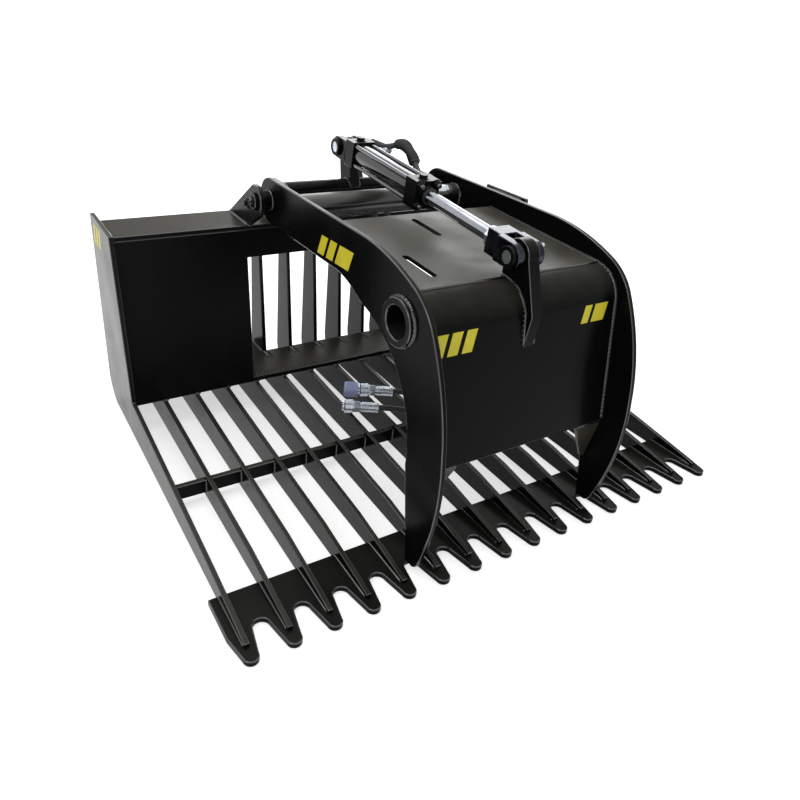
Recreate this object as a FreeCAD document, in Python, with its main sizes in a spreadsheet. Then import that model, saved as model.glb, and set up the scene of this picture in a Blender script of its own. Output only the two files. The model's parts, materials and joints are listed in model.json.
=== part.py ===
import FreeCAD, Part
import math
import os
import Sketcher

# Rock grapple bucket: a tined bucket floor with a hydraulic lid.
# X runs across the width, the teeth point towards minus Y, and Z is up.
# The origin is on the ground under the middle of the bucket.
# Lengths along the bucket are measured back from the tips of the teeth.

doc = FreeCAD.newDocument("rock_grapple_bucket")
sheet = doc.addObject("Spreadsheet::Sheet", "Sizes")


class Size:
    """A length with the value it has now and the spreadsheet expression it comes from."""

    def __init__(self, value, text):
        self.value = value
        self.text = text

    def __add__(self, other):
        other = as_size(other)
        return Size(self.value + other.value, f"({self.text} + {other.text})")

    def __sub__(self, other):
        other = as_size(other)
        return Size(self.value - other.value, f"({self.text} - {other.text})")

    def __mul__(self, other):
        other = as_size(other)
        return Size(self.value * other.value, f"({self.text} * {other.text})")

    def __truediv__(self, other):
        other = as_size(other)
        return Size(self.value / other.value, f"({self.text} / {other.text})")

    def __rsub__(self, other):
        return as_size(other) - self

    def __neg__(self):
        return Size(-self.value, f"(-1 * {self.text})")

    __radd__ = __add__
    __rmul__ = __mul__


def as_size(number):
    """Turn a plain number into a Size."""
    if isinstance(number, Size):
        return number
    return Size(float(number), f"{float(number):.6f}")


def size(name, value):
    """Write one driving dimension into the sheet and return it as a Size."""
    size.row += 1
    sheet.set(f"A{size.row}", name)
    sheet.set(f"B{size.row}", str(value))
    sheet.setAlias(f"B{size.row}", name)
    return Size(float(value), f"Sizes.{name}")


size.row = 0
zero = Size(0.0, "0")

# Bucket floor
tine_pitch = size("tine_pitch", 76.2)
tine_count = 16
tine_thickness = size("tine_thickness", 10)
depth = size("depth", 922)
edge_thickness = size("edge_thickness", 12)
edge_depth = size("edge_depth", 152)
tooth_length = size("tooth_length", 76)
tooth_root_width = size("tooth_root_width", 46)
tooth_tip_width = size("tooth_tip_width", 28)
nose_start = size("nose_start", 30)
nose_height = size("nose_height", 9)
tine_front_height = size("tine_front_height", 44)
tine_front_length = size("tine_front_length", 205)
heel_radius = size("heel_radius", 64)
cross_bar_start = size("cross_bar_start", 424)
cross_bar_thickness = size("cross_bar_thickness", 12)
cross_bar_height = size("cross_bar_height", 32)
cross_bar_base = size("cross_bar_base", 14)

# Attachment box at the back of the bucket
ledge_height = size("ledge_height", 70)
ledge_thickness = size("ledge_thickness", 12)
face_foot = depth - size("face_foot_setback", 204)
face_head = depth - size("face_head_setback", 160)
face_thickness = size("face_thickness", 10)
flange_height = size("flange_height", 447)
flange_thickness = size("flange_thickness", 10)
flange_rear = depth - size("flange_setback", 37)
window_half_width = tine_pitch * 3.5 + size("window_margin", 5.3)
window_head = flange_height - size("window_head_bar", 64)
tab_margin = size("tab_margin", 5)
ledge_setback = size("ledge_setback", 12)
leg_foot = depth - size("leg_foot_width", 80)
leg_head = depth - size("leg_head_width", 38)
end_arm_height = size("end_arm_height", 95)
end_front_foot = depth - size("end_foot_width", 228)
end_front_head = depth - size("end_head_width", 175)
end_height = flange_height + size("end_rise", 17)
latch_slot_length = size("latch_slot_length", 64)
latch_slot_width = size("latch_slot_width", 28)
latch_slot_spacing = tine_pitch * (tine_count - 1) - size("latch_slot_inset", 163)
latch_slot_place = depth - size("latch_slot_setback", 122)

# Hinge between the bucket and the lid
hinge_place = depth - size("hinge_setback", 198)
hinge_height = flange_height + flange_thickness + size("hinge_rise", 65)
hinge_pin_radius = size("hinge_pin_radius", 12.5)
running_clearance = size("running_clearance", 0.05)
side_clearance = size("side_clearance", 0.3)
ear_thickness = size("ear_thickness", 12)
ear_setback = size("ear_setback", 22)
ear_gap = size("ear_gap", 50)
ear_radius = size("ear_radius", 35)
ear_top = size("ear_top", 12)
outer_ear_inset = size("outer_ear_inset", 2)
inner_ear_inset = size("inner_ear_inset", 30)
pin_head_radius = size("pin_head_radius", 19)
pin_head_thickness = size("pin_head_thickness", 6)
bush_radius = size("bush_radius", 21)

# Cross tube and lug that carry the hydraulic cylinder
mount_tube_place = depth - size("mount_tube_setback", 154)
mount_tube_height = hinge_height + size("mount_tube_rise", 9)
mount_tube_radius = size("mount_tube_radius", 17)
mount_tube_wall = size("mount_tube_wall", 5)
lug_thickness = size("lug_thickness", 25)
lug_radius = size("lug_radius", 22)
lug_front_flare = size("lug_front_flare", 4)
lug_rear_flare = size("lug_rear_flare", 14)
base_pin_place = mount_tube_place + size("base_pin_run", 24)
base_pin_height = mount_tube_height + size("base_pin_rise", 86)

# Lid
lid_plate_thickness = size("lid_plate_thickness", 10)
lid_end_radius = size("lid_end_radius", 49)
skin_thickness = size("skin_thickness", 8)
rear_tube_place = hinge_place - size("rear_tube_run", 72)
rear_tube_height = hinge_height + size("rear_tube_rise", 1)
rear_tube_radius = size("rear_tube_radius", 28)
rear_tube_wall = size("rear_tube_wall", 5)
deck_rear_height = rear_tube_height + size("deck_rise", 10)
deck_gap = size("deck_gap", 106)
seam_place = size("seam_place", 178)
seam_height = hinge_height - size("seam_drop", 3)
bend_radius = size("bend_radius", 70)
bend_foot_place = seam_place - size("bend_run", 65)
bend_foot_height = seam_height - size("bend_drop", 59)
panel_foot_place = bend_foot_place - size("panel_run", 43)
panel_foot_height = bend_foot_height - size("panel_drop", 247)
pipe_place = seam_place + size("pipe_run", 2)
pipe_height = seam_height - size("pipe_drop", 53)
pipe_radius = size("pipe_radius", 44)
pipe_bore = size("pipe_bore", 30)
pipe_reach = size("pipe_reach", 10)
claw_clearance = size("claw_clearance", 1)
slot_length = size("slot_length", 100)
slot_width = size("slot_width", 14)
rear_slot_side = size("rear_slot_side", 9)
rear_slot_run = size("rear_slot_run", 259)
front_slot_side = size("front_slot_side", 142)
front_slot_run = size("front_slot_run", 90)

# Outline of the lid's side plates, from the brow over the shoulder to the claw and the throat
brow_run = size("brow_run", 150)
brow_rise = size("brow_rise", 52)
crown_run = size("crown_run", 30)
crown_rise = size("crown_rise", 16)
crown_radius = size("crown_radius", 460)
shoulder_run = size("shoulder_run", 18)
shoulder_rise = size("shoulder_rise", 32)
shoulder_radius = size("shoulder_radius", 130)
cheek_run = size("cheek_run", 50)
cheek_rise = size("cheek_rise", 70)
cheek_radius = size("cheek_radius", 510)
claw_run = size("claw_run", 48)
claw_drop = size("claw_drop", 98)
claw_radius = size("claw_radius", 500)
toe_run = size("toe_run", 26)
toe_rise = size("toe_rise", 14)
toe_front_radius = size("toe_front_radius", 700)
toe_flat = size("toe_flat", 12)
toe_radius = size("toe_radius", 22)
toe_heel = size("toe_heel", 10)
claw_back = size("claw_back", 48)
throat_run = size("throat_run", 132)
throat_drop = size("throat_drop", 71)
throat_radius = size("throat_radius", 225)
arm_run = size("arm_run", 222)
arm_drop = size("arm_drop", 43)
arm_radius = size("arm_radius", 260)

# Hydraulic cylinder, measured along its own axis from the base pin
rod_pin_place = seam_place - size("rod_pin_run", 16)
rod_pin_height = seam_height + size("rod_pin_rise", 45)
pin_radius = size("pin_radius", 12.5)
collar_radius = size("collar_radius", 17)
open_pivot_clearance = size("open_pivot_clearance", 7.2)
fork_gap = size("fork_gap", 27)
fork_cheek = size("fork_cheek", 17)
fork_radius = size("fork_radius", 24)
block_side = size("block_side", 58)
base_cap_start = size("base_cap_start", 36)
base_cap_length = size("base_cap_length", 34)
barrel_length = size("barrel_length", 222)
barrel_radius = size("barrel_radius", 24)
barrel_bore = size("barrel_bore", 20)
head_length = size("head_length", 40)
gland_length = size("gland_length", 10)
gland_radius = size("gland_radius", 19)
rod_radius = size("rod_radius", 14)
piston_start = size("piston_start", 212)
piston_length = size("piston_length", 28)
piston_clearance = size("piston_clearance", 0.06)
tie_rod_radius = size("tie_rod_radius", 4.5)
tie_rod_spacing = size("tie_rod_spacing", 42)
tie_nut_radius = size("tie_nut_radius", 8)
tie_nut_height = size("tie_nut_height", 8)
clevis_body_length = size("clevis_body_length", 34)
clevis_body_start = size("clevis_body_start", 40)
port_radius = size("port_radius", 10)

# Hoses and their couplers
hose_radius = size("hose_radius", 7)
hose_spacing = size("hose_spacing", 36)
ferrule_radius = size("ferrule_radius", 9)
coupler_radius = size("coupler_radius", 14)
coupler_length = size("coupler_length", 62)
coupler_nose_radius = size("coupler_nose_radius", 17)
coupler_nose_length = size("coupler_nose_length", 26)
cap_radius = size("cap_radius", 19)
cap_length = size("cap_length", 34)

doc.recompute()

front = depth * -0.5
lid_half_width = tine_pitch * 3 + lid_plate_thickness / 2
ear_inner_face = lid_half_width + ear_setback
pieces = {}


def body_sketch(body, name, plane_role):
    """Attach a new sketch to one of the body's own origin planes."""
    sketch = body.newObject("Sketcher::SketchObject", name)
    plane = [item for item in body.Origin.OriginFeatures if item.Role == plane_role][0]
    sketch.AttachmentSupport = [(plane, "")]
    sketch.MapMode = "FlatFace"
    return sketch


def bind_point(sketch, geometry, end, across, up):
    """Hold one end of a sketch edge at its two lengths from the sketch's origin."""
    for kind, axis, length in (("DistanceX", -2, across), ("DistanceY", -1, up)):
        if length is zero:
            sketch.addConstraint(Sketcher.Constraint("PointOnObject", geometry, end, axis))
        else:
            index = sketch.addConstraint(
                Sketcher.Constraint(kind, -1, 1, geometry, end, length.value))
            sketch.setExpression(f"Constraints[{index}]", length.text)


def draw_outline(sketch, corners):
    """Draw a closed outline. A corner is (across, up), or (across, up, radius, turn) where an
    arc arrives at it: turn is 1 for an arc to the left of the way round and -1 to the right."""
    first = sketch.GeometryCount
    count = len(corners)
    ends = []
    for number, corner in enumerate(corners):
        before = corners[number - 1]
        start = FreeCAD.Vector(before[0].value, before[1].value, 0)
        stop = FreeCAD.Vector(corner[0].value, corner[1].value, 0)
        if len(corner) == 2:
            sketch.addGeometry(Part.LineSegment(start, stop), False)
            ends.append((1, 2))
            continue
        radius = corner[2].value
        turn = corner[3]
        chord = stop - start
        side = FreeCAD.Vector(-chord.y, chord.x, 0) * (turn / chord.Length)
        reach = math.sqrt(radius ** 2 - (chord.Length / 2) ** 2)
        centre = start + chord * 0.5 + side * reach
        angles = [math.atan2(p.y - centre.y, p.x - centre.x) for p in (start, stop)]
        if turn < 0:
            angles.reverse()
        circle = Part.Circle(centre, FreeCAD.Vector(0, 0, 1), radius)
        sketch.addGeometry(Part.ArcOfCircle(circle, angles[0], angles[1]), False)
        ends.append((1, 2) if turn > 0 else (2, 1))
    for number in range(count):
        following = (number + 1) % count
        sketch.addConstraint(Sketcher.Constraint(
            "Coincident", first + number, ends[number][1], first + following, ends[following][0]))
    for number, corner in enumerate(corners):
        bind_point(sketch, first + number, ends[number][1], corner[0], corner[1])
        if len(corner) == 4:
            index = sketch.addConstraint(
                Sketcher.Constraint("Radius", first + number, corner[2].value))
            sketch.setExpression(f"Constraints[{index}]", corner[2].text)


def draw_circle(sketch, across, up, radius):
    """Draw a circle that is held by its centre and radius."""
    number = sketch.GeometryCount
    centre = FreeCAD.Vector(across.value, up.value, 0)
    sketch.addGeometry(Part.Circle(centre, FreeCAD.Vector(0, 0, 1), radius.value), False)
    bind_point(sketch, number, 3, across, up)
    index = sketch.addConstraint(Sketcher.Constraint("Radius", number, radius.value))
    sketch.setExpression(f"Constraints[{index}]", radius.text)


def place(item, across=None, along=None, up=None):
    """Bind the place of a sub-part to the sheet."""
    for axis, length in (("x", across), ("y", along), ("z", up)):
        if length is not None:
            item.setExpression(f"Placement.Base.{axis}", as_size(length).text)


def plate(label, left, thickness, outlines, circles=()):
    """Make a flat piece that lies in a plane across the width, from its side outline."""
    body = doc.addObject("PartDesign::Body", label)
    body.Label = label
    sketch = body_sketch(body, f"{label}_outline", "YZ_Plane")
    for corners in outlines:
        draw_outline(sketch, corners)
    for across, up, radius in circles:
        draw_circle(sketch, across, up, radius)
    pad = body.newObject("PartDesign::Pad", f"{label}_pad")
    pad.Profile = sketch
    pad.setExpression("Length", as_size(thickness).text)
    place(body, left, front, None)
    pieces[label] = body
    return body


def box(label, low, lengths):
    """Make a block from its low corner and its three lengths."""
    item = doc.addObject("Part::Box", label)
    item.Label = label
    for name, length in zip(("Length", "Width", "Height"), lengths):
        item.setExpression(name, as_size(length).text)
    place(item, *low)
    return item


def rod(label, start, radius, length, way):
    """Make a round bar from the centre of its start face. The way is one of x, y, -y and z."""
    item = doc.addObject("Part::Cylinder", label)
    item.Label = label
    turns = {"x": ((0, 1, 0), 90), "-y": ((1, 0, 0), 90), "y": ((1, 0, 0), -90), "z": ((0, 0, 1), 0)}
    axis, angle = turns[way]
    item.Placement.Rotation = FreeCAD.Rotation(FreeCAD.Vector(*axis), angle)
    item.setExpression("Radius", as_size(radius).text)
    item.setExpression("Height", as_size(length).text)
    place(item, *start)
    return item


def fuse(label, items):
    """Join several solids into one piece."""
    item = doc.addObject("Part::MultiFuse", label)
    item.Label = label
    item.Shapes = items
    item.Refine = True
    return item


def cut(label, base, tools):
    """Take several solids away from one."""
    tool = tools[0]
    if len(tools) > 1:
        tool = fuse(f"{label}_tools", tools)
    item = doc.addObject("Part::Cut", label)
    item.Label = label
    item.Base = base
    item.Tool = tool
    return item


# Cutting edge: one plate with sixteen rounded teeth and a round root between each two
half_row = tine_pitch * ((tine_count - 1) / 2)
edge_body = doc.addObject("PartDesign::Body", "cutting_edge")
edge_body.Label = "cutting_edge"
strip = body_sketch(edge_body, "edge_strip", "XY_Plane")
draw_outline(strip, [
    (zero, tooth_length),
    (tine_pitch * tine_count, tooth_length),
    (tine_pitch * tine_count, edge_depth),
    (zero, edge_depth),
])
strip_pad = edge_body.newObject("PartDesign::Pad", "edge_strip_pad")
strip_pad.Profile = strip
strip_pad.setExpression("Length", edge_thickness.text)
root_radius = (tine_pitch - tooth_root_width) / 2
tip_radius = tooth_tip_width / 2
tooth_middle = tine_pitch / 2
tooth = body_sketch(edge_body, "tooth", "XY_Plane")
draw_outline(tooth, [
    (zero, tooth_length),
    (root_radius, tooth_length - root_radius, root_radius, -1),
    (tooth_middle - tip_radius, tip_radius),
    (tooth_middle, zero, tip_radius, 1),
    (tooth_middle + tip_radius, tip_radius, tip_radius, 1),
    (tine_pitch - root_radius, tooth_length - root_radius),
    (tine_pitch, tooth_length, root_radius, -1),
])
tooth_pad = edge_body.newObject("PartDesign::Pad", "tooth_pad")
tooth_pad.Profile = tooth
tooth_pad.setExpression("Length", edge_thickness.text)
row = edge_body.newObject("PartDesign::LinearPattern", "tooth_row")
row.Originals = [tooth_pad]
row.Direction = (tooth, ["H_Axis"])
row.setExpression("Length", (tine_pitch * (tine_count - 1)).text)
row.Occurrences = tine_count
edge_body.Tip = row
place(edge_body, tine_pitch * (-tine_count / 2), front, None)
edge_half_width = half_row + tooth_root_width / 2
edge_trims = []
for side in (-1, 1):
    trim_low = edge_half_width if side > 0 else -(edge_half_width + tine_pitch)
    edge_trims.append(box(
        f"edge_trim_{side + 1}", (trim_low, front - 1, -1),
        (tine_pitch, edge_depth + 2, edge_thickness + 2)))
pieces["cutting_edge"] = cut("cutting_edge", edge_body, edge_trims)

# Tines: plates on edge from the teeth to the heel, those behind the window with a tall leg
ledge_top = ledge_height + ledge_thickness
first_window_tine = 6
last_window_tine = 11


def tine_floor():
    """Outline of a tine from its nose on the cutting edge, along the ground, to its heel."""
    return [
        (nose_start, edge_thickness),
        (edge_depth, edge_thickness),
        (edge_depth, zero),
        (depth - heel_radius, zero),
        (depth, heel_radius, heel_radius, 1),
    ]


def tine_front():
    """Outline of a tine from the attachment box forward and down to its nose."""
    return [
        (face_foot, ledge_height),
        (tine_front_length, tine_front_height),
        (nose_start, edge_thickness + nose_height),
    ]


bar_hole = [
    (cross_bar_start, cross_bar_base),
    (cross_bar_start + cross_bar_thickness, cross_bar_base),
    (cross_bar_start + cross_bar_thickness, cross_bar_base + cross_bar_height),
    (cross_bar_start, cross_bar_base + cross_bar_height),
]
for number in range(1, tine_count + 1):
    tine_left = tine_pitch * (number - (tine_count + 1) / 2) - tine_thickness / 2
    if number in (1, tine_count):
        outline = tine_floor() + [
            (depth, end_height),
            (end_front_head, end_height),
            (end_front_foot, end_arm_height),
            (tine_front_length, tine_front_height),
            (nose_start, edge_thickness + nose_height),
        ]
        openings = []
    elif first_window_tine <= number <= last_window_tine:
        outline = tine_floor() + [
            (depth, flange_height),
            (leg_head, flange_height),
            (leg_foot, ledge_top),
            (leg_foot, ledge_height),
        ] + tine_front()
        openings = [bar_hole]
    else:
        outline = tine_floor() + [(depth, ledge_height)] + tine_front()
        openings = [bar_hole]
    plate(f"tine_{number:02d}", tine_left, tine_thickness, [outline] + openings)

inside_half_width = half_row - tine_thickness / 2
inside_width = inside_half_width * 2
pieces["cross_bar"] = box(
    "cross_bar",
    (-inside_half_width, front + cross_bar_start, cross_bar_base),
    (inside_width, cross_bar_thickness, cross_bar_height))

# Attachment box: a leaning face plate with a window, a top flange and a ledge with latch slots
window_low = ledge_top
face_sheet = plate("face_sheet", -inside_half_width, inside_width, [[
    (face_foot, ledge_height),
    (face_foot + face_thickness, ledge_height),
    (face_head + face_thickness, flange_height),
    (face_head, flange_height),
]])
del pieces["face_sheet"]
face_window = box(
    "face_window",
    (-window_half_width, front + face_foot - face_thickness, window_low),
    (window_half_width * 2, face_head - face_foot + face_thickness * 3, window_head - window_low))
pieces["face_plate"] = cut("face_plate", face_sheet, [face_window])

ledge_front = face_foot + ledge_setback
tab_half_width = tine_pitch * 2.5 + tine_thickness / 2 + tab_margin
ledge_sheet = box(
    "ledge_sheet",
    (-inside_half_width, front + ledge_front, ledge_height),
    (inside_width, depth - ledge_front, ledge_thickness))
leg_zone = box(
    "leg_zone",
    (-tab_half_width, front + leg_foot, ledge_height - 1),
    (tab_half_width * 2, depth - leg_foot + 1, ledge_thickness + 2))
latch_tools = []
for side in (-1, 1):
    middle = latch_slot_spacing * (side / 2)
    straight = latch_slot_length - latch_slot_width
    latch_tools.append(box(
        f"latch_slot_{side + 1}",
        (middle - straight / 2, front + latch_slot_place - latch_slot_width / 2, ledge_height - 1),
        (straight, latch_slot_width, ledge_thickness + 2)))
    for end in (-1, 1):
        latch_tools.append(rod(
            f"latch_end_{side + 1}_{end + 1}",
            (middle + straight * (end / 2), front + latch_slot_place, ledge_height - 1),
            latch_slot_width / 2, ledge_thickness + 2, "z"))
pieces["latch_ledge"] = cut("latch_ledge", ledge_sheet, [leg_zone] + latch_tools)

flange_sides = box(
    "flange_sides",
    (-inside_half_width, front + face_head, flange_height),
    (inside_width, flange_rear - face_head, flange_thickness))
flange_middle = box(
    "flange_middle",
    (-tab_half_width, front + face_head, flange_height),
    (tab_half_width * 2, depth - face_head, flange_thickness))
pieces["top_flange"] = fuse("top_flange", [flange_sides, flange_middle])

# Hinge ears, in pairs that hold the lid's side plates between them
flange_top = flange_height + flange_thickness


def ear_outline(rear, rise):
    """Outline of an ear that stands on the flange and reaches forward to the hinge pin."""
    return [
        (face_head + side_clearance, flange_top),
        (rear, flange_top),
        (hinge_place + rise, hinge_height + ear_radius),
        (hinge_place, hinge_height + ear_radius),
        (hinge_place - ear_radius, hinge_height, ear_radius, 1),
        (hinge_place - ear_radius * 0.5, hinge_height - ear_radius * 0.8660254, ear_radius, 1),
    ]


outer_ear_outline = ear_outline(flange_rear - outer_ear_inset, ear_top)
inner_ear_outline = ear_outline(
    flange_rear - inner_ear_inset, mount_tube_place - hinge_place + ear_top)
inner_ear_left = ear_inner_face - ear_gap
for name, side in (("left", -1), ("right", 1)):
    outer_low = ear_inner_face if side > 0 else -(ear_inner_face + ear_thickness)
    inner_low = inner_ear_left - ear_thickness if side > 0 else -inner_ear_left
    pin_hole = [(hinge_place, hinge_height, hinge_pin_radius)]
    plate(f"outer_ear_{name}", outer_low, ear_thickness, [outer_ear_outline], pin_hole)
    plate(f"inner_ear_{name}", inner_low, ear_thickness, [inner_ear_outline], pin_hole)
    pin_length = ear_gap + ear_thickness * 2 + pin_head_thickness
    pin_low = inner_ear_left - ear_thickness - pin_head_thickness
    shank_low = pin_low if side > 0 else -(pin_low + pin_length)
    shank = rod(f"hinge_shank_{name}", (shank_low, front + hinge_place, hinge_height),
                hinge_pin_radius, pin_length, "x")
    head_low = ear_inner_face + ear_thickness
    head_low = head_low if side > 0 else -(head_low + pin_head_thickness)
    head = rod(f"hinge_head_{name}", (head_low, front + hinge_place, hinge_height),
               pin_head_radius, pin_head_thickness, "x")
    pieces[f"hinge_pin_{name}"] = fuse(f"hinge_pin_{name}", [shank, head])

# Cross tube between the inner ears, with the lug for the cylinder's base pin
tube_half_length = inner_ear_left - ear_thickness
plate("mount_tube", -tube_half_length, tube_half_length * 2, [], [
    (mount_tube_place, mount_tube_height, mount_tube_radius),
    (mount_tube_place, mount_tube_height, mount_tube_radius - mount_tube_wall),
])
saddle = mount_tube_radius
plate("cylinder_lug", lug_thickness * -0.5, lug_thickness, [[
    (mount_tube_place - saddle, mount_tube_height),
    (mount_tube_place, mount_tube_height + saddle, saddle, -1),
    (mount_tube_place + saddle, mount_tube_height, saddle, -1),
    (mount_tube_place + saddle + lug_rear_flare, mount_tube_height),
    (base_pin_place + lug_radius, base_pin_height),
    (base_pin_place, base_pin_height + lug_radius, lug_radius, 1),
    (base_pin_place - lug_radius, base_pin_height, lug_radius, 1),
    (mount_tube_place - saddle - lug_front_flare, mount_tube_height),
]], [(base_pin_place, base_pin_height, pin_radius)])

# Lid side plates: one plate on each side, from the hinge over the bend to the claw's tip
claw_tip_height = edge_thickness + claw_clearance
side_outline = [
    (hinge_place, hinge_height - lid_end_radius),
    (hinge_place + lid_end_radius, hinge_height, lid_end_radius, 1),
    (hinge_place, hinge_height + lid_end_radius, lid_end_radius, 1),
    (seam_place + brow_run, seam_height + brow_rise),
    (seam_place - crown_run, seam_height + crown_rise, crown_radius, 1),
    (bend_foot_place - shoulder_run, bend_foot_height + shoulder_rise, shoulder_radius, 1),
    (panel_foot_place - cheek_run, panel_foot_height + cheek_rise, cheek_radius, 1),
    (panel_foot_place - claw_run, panel_foot_height - claw_drop, claw_radius, 1),
    (panel_foot_place - toe_run, claw_tip_height + toe_rise, toe_front_radius, 1),
    (panel_foot_place - toe_flat, claw_tip_height, toe_radius, 1),
    (panel_foot_place + toe_heel, claw_tip_height),
    (panel_foot_place + claw_back, panel_foot_height),
    (seam_place + throat_run, seam_height - throat_drop, throat_radius, -1),
    (seam_place + arm_run, seam_height - arm_drop, arm_radius, -1),
]
for name, side in (("left", -1), ("right", 1)):
    plate_low = lid_half_width - lid_plate_thickness if side > 0 else -lid_half_width
    plate(f"lid_side_{name}", plate_low, lid_plate_thickness, [side_outline], [
        (hinge_place, hinge_height, bush_radius),
        (pipe_place, pipe_height, pipe_radius),
    ])
    bush_low = inner_ear_left + side_clearance if side > 0 else -(ear_inner_face - side_clearance)
    plate(f"hinge_bush_{name}", bush_low, ear_gap - side_clearance * 2, [], [
        (hinge_place, hinge_height, bush_radius),
        (hinge_place, hinge_height, hinge_pin_radius + running_clearance),
    ])

# Lid skin: flat deck, rolled front panel, rear tube and cross pipe
lid_inside = lid_half_width - lid_plate_thickness
deck_rear = rear_tube_place - rear_tube_radius - deck_gap
deck_blank = plate("deck_blank", -lid_inside, lid_inside * 2, [[
    (seam_place, seam_height - skin_thickness),
    (deck_rear, deck_rear_height - skin_thickness),
    (deck_rear, deck_rear_height),
    (seam_place, seam_height),
]])
del pieces["deck_blank"]
deck_tools = []
deck_slots = ((-rear_slot_side, rear_slot_run), (-front_slot_side, front_slot_run))
for number, (across, run) in enumerate(deck_slots):
    along = seam_place + run
    slot_low = seam_height - skin_thickness * 2
    slot_rise = deck_rear_height - seam_height + skin_thickness * 3
    straight = slot_length - slot_width
    deck_tools.append(box(
        f"deck_slot_{number}",
        (across - slot_width / 2, front + along - straight / 2, slot_low),
        (slot_width, straight, slot_rise)))
    for end in (-1, 1):
        deck_tools.append(rod(
            f"deck_slot_end_{number}_{end + 1}",
            (across, front + along + straight * (end / 2), slot_low),
            slot_width / 2, slot_rise, "z"))
pieces["lid_deck"] = cut("lid_deck", deck_blank, deck_tools)

panel_run = bend_foot_place - panel_foot_place
panel_rise = bend_foot_height - panel_foot_height
panel_length = Size(math.hypot(panel_run.value, panel_rise.value),
                    f"sqrt({panel_run.text} ^ 2 + {panel_rise.text} ^ 2)")
skin_back = skin_thickness * panel_rise / panel_length
skin_down = skin_thickness * panel_run / panel_length
inner_bend_radius = bend_radius - skin_thickness
plate("lid_front_panel", -lid_inside, lid_inside * 2, [[
    (seam_place, seam_height),
    (bend_foot_place, bend_foot_height, bend_radius, 1),
    (panel_foot_place, panel_foot_height),
    (panel_foot_place + skin_back, panel_foot_height - skin_down),
    (bend_foot_place + skin_back, bend_foot_height - skin_down),
    (seam_place, seam_height - skin_thickness, inner_bend_radius, -1),
]])
plate("lid_rear_tube", -lid_inside, lid_inside * 2, [], [
    (rear_tube_place, rear_tube_height, rear_tube_radius),
    (rear_tube_place, rear_tube_height, rear_tube_radius - rear_tube_wall),
])
plate("lid_cross_pipe", -(lid_half_width + pipe_reach), (lid_half_width + pipe_reach) * 2, [], [
    (pipe_place, pipe_height, pipe_radius),
    (pipe_place, pipe_height, pipe_bore),
])

# Claw gussets: triangles that carry the front panel's plane down the claws
gusset_width = size("gusset_width", 72)
gusset_height = size("gusset_height", 100)
gusset_toe = size("gusset_toe", 9)
for name, side in (("left", -1), ("right", 1)):
    body = doc.addObject("PartDesign::Body", f"claw_gusset_{name}")
    body.Label = f"claw_gusset_{name}"
    face = body_sketch(body, f"claw_gusset_{name}_outline", "XZ_Plane")
    if side < 0:
        corners = [(zero, -gusset_height), (gusset_toe, -gusset_height),
                   (gusset_width, zero), (zero, zero)]
    else:
        corners = [(gusset_width - gusset_toe, -gusset_height), (gusset_width, -gusset_height),
                   (gusset_width, zero), (zero, zero)]
    draw_outline(face, corners)
    pad = body.newObject("PartDesign::Pad", f"claw_gusset_{name}_pad")
    pad.Profile = face
    pad.setExpression("Length", skin_thickness.text)
    lean = math.degrees(math.atan2(panel_run.value, panel_rise.value))
    body.Placement.Rotation = FreeCAD.Rotation(FreeCAD.Vector(1, 0, 0), -lean)
    body.setExpression("Placement.Rotation.Angle", f"atan2({panel_run.text}; {panel_rise.text})")
    gusset_left = -lid_inside if side < 0 else lid_inside - gusset_width
    place(body, gusset_left, front + panel_foot_place + skin_back, panel_foot_height - skin_down)
    pieces[f"claw_gusset_{name}"] = body

# Rod lug: a thick plate that follows the deck, the bend and the top of the front panel
rod_lug_run = size("rod_lug_run", 14)
rod_lug_drop = size("rod_lug_drop", 50)
rod_lug_radius = size("rod_lug_radius", 30)
rod_lug_lead = size("rod_lug_lead", 16)
rod_lug_brow = size("rod_lug_brow", 12)
deck_slope = (deck_rear_height - seam_height) / (deck_rear - seam_place)
lug_bend = [
    (bend_foot_place, bend_foot_height),
    (seam_place, seam_height, bend_radius, -1),
    (seam_place + rod_lug_run, seam_height + deck_slope * rod_lug_run),
]
plate("rod_lug", lug_thickness * -0.5, lug_thickness, [lug_bend + [
    (rod_pin_place + rod_lug_radius, rod_pin_height),
    (rod_pin_place, rod_pin_height + rod_lug_radius, rod_lug_radius, 1),
    (rod_pin_place - rod_lug_radius, rod_pin_height, rod_lug_radius, 1),
    (bend_foot_place - rod_lug_lead, bend_foot_height + rod_lug_brow),
    (bend_foot_place - rod_lug_drop * (panel_run / panel_rise), bend_foot_height - rod_lug_drop),
]], [(rod_pin_place, rod_pin_height, pin_radius + open_pivot_clearance)])

# Hydraulic cylinder, in a frame of its own: the origin is the base pin and it points to minus Y
cylinder_run = base_pin_place - rod_pin_place
cylinder_drop = base_pin_height - rod_pin_height
pin_distance = math.hypot(cylinder_run.value, cylinder_drop.value)
cylinder_tilt = f"atan2({cylinder_drop.text}; {cylinder_run.text})"
pin_span = Size(pin_distance, f"sqrt({cylinder_run.text} ^ 2 + {cylinder_drop.text} ^ 2)")
fork_width = fork_gap + fork_cheek * 2


def on_cylinder(label, item):
    """Turn a finished piece from the cylinder's own frame to its place on the bucket."""
    tilt = math.degrees(math.atan2(cylinder_drop.value, cylinder_run.value))
    item.Placement.Rotation = FreeCAD.Rotation(FreeCAD.Vector(1, 0, 0), tilt)
    item.setExpression("Placement.Rotation.Angle", cylinder_tilt)
    place(item, 0, front + base_pin_place, base_pin_height)
    item.Label = label
    pieces[label] = item


def single(label, item):
    """Wrap one round bar so that it can be turned with the cylinder."""
    group = doc.addObject("Part::Compound", f"{label}_group")
    group.Links = [item]
    return group


def square_block(label, start, length, side):
    """Make a square block along the cylinder's axis."""
    return box(label, (side / -2, -(start + length), side / -2), (side, length, side))


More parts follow.
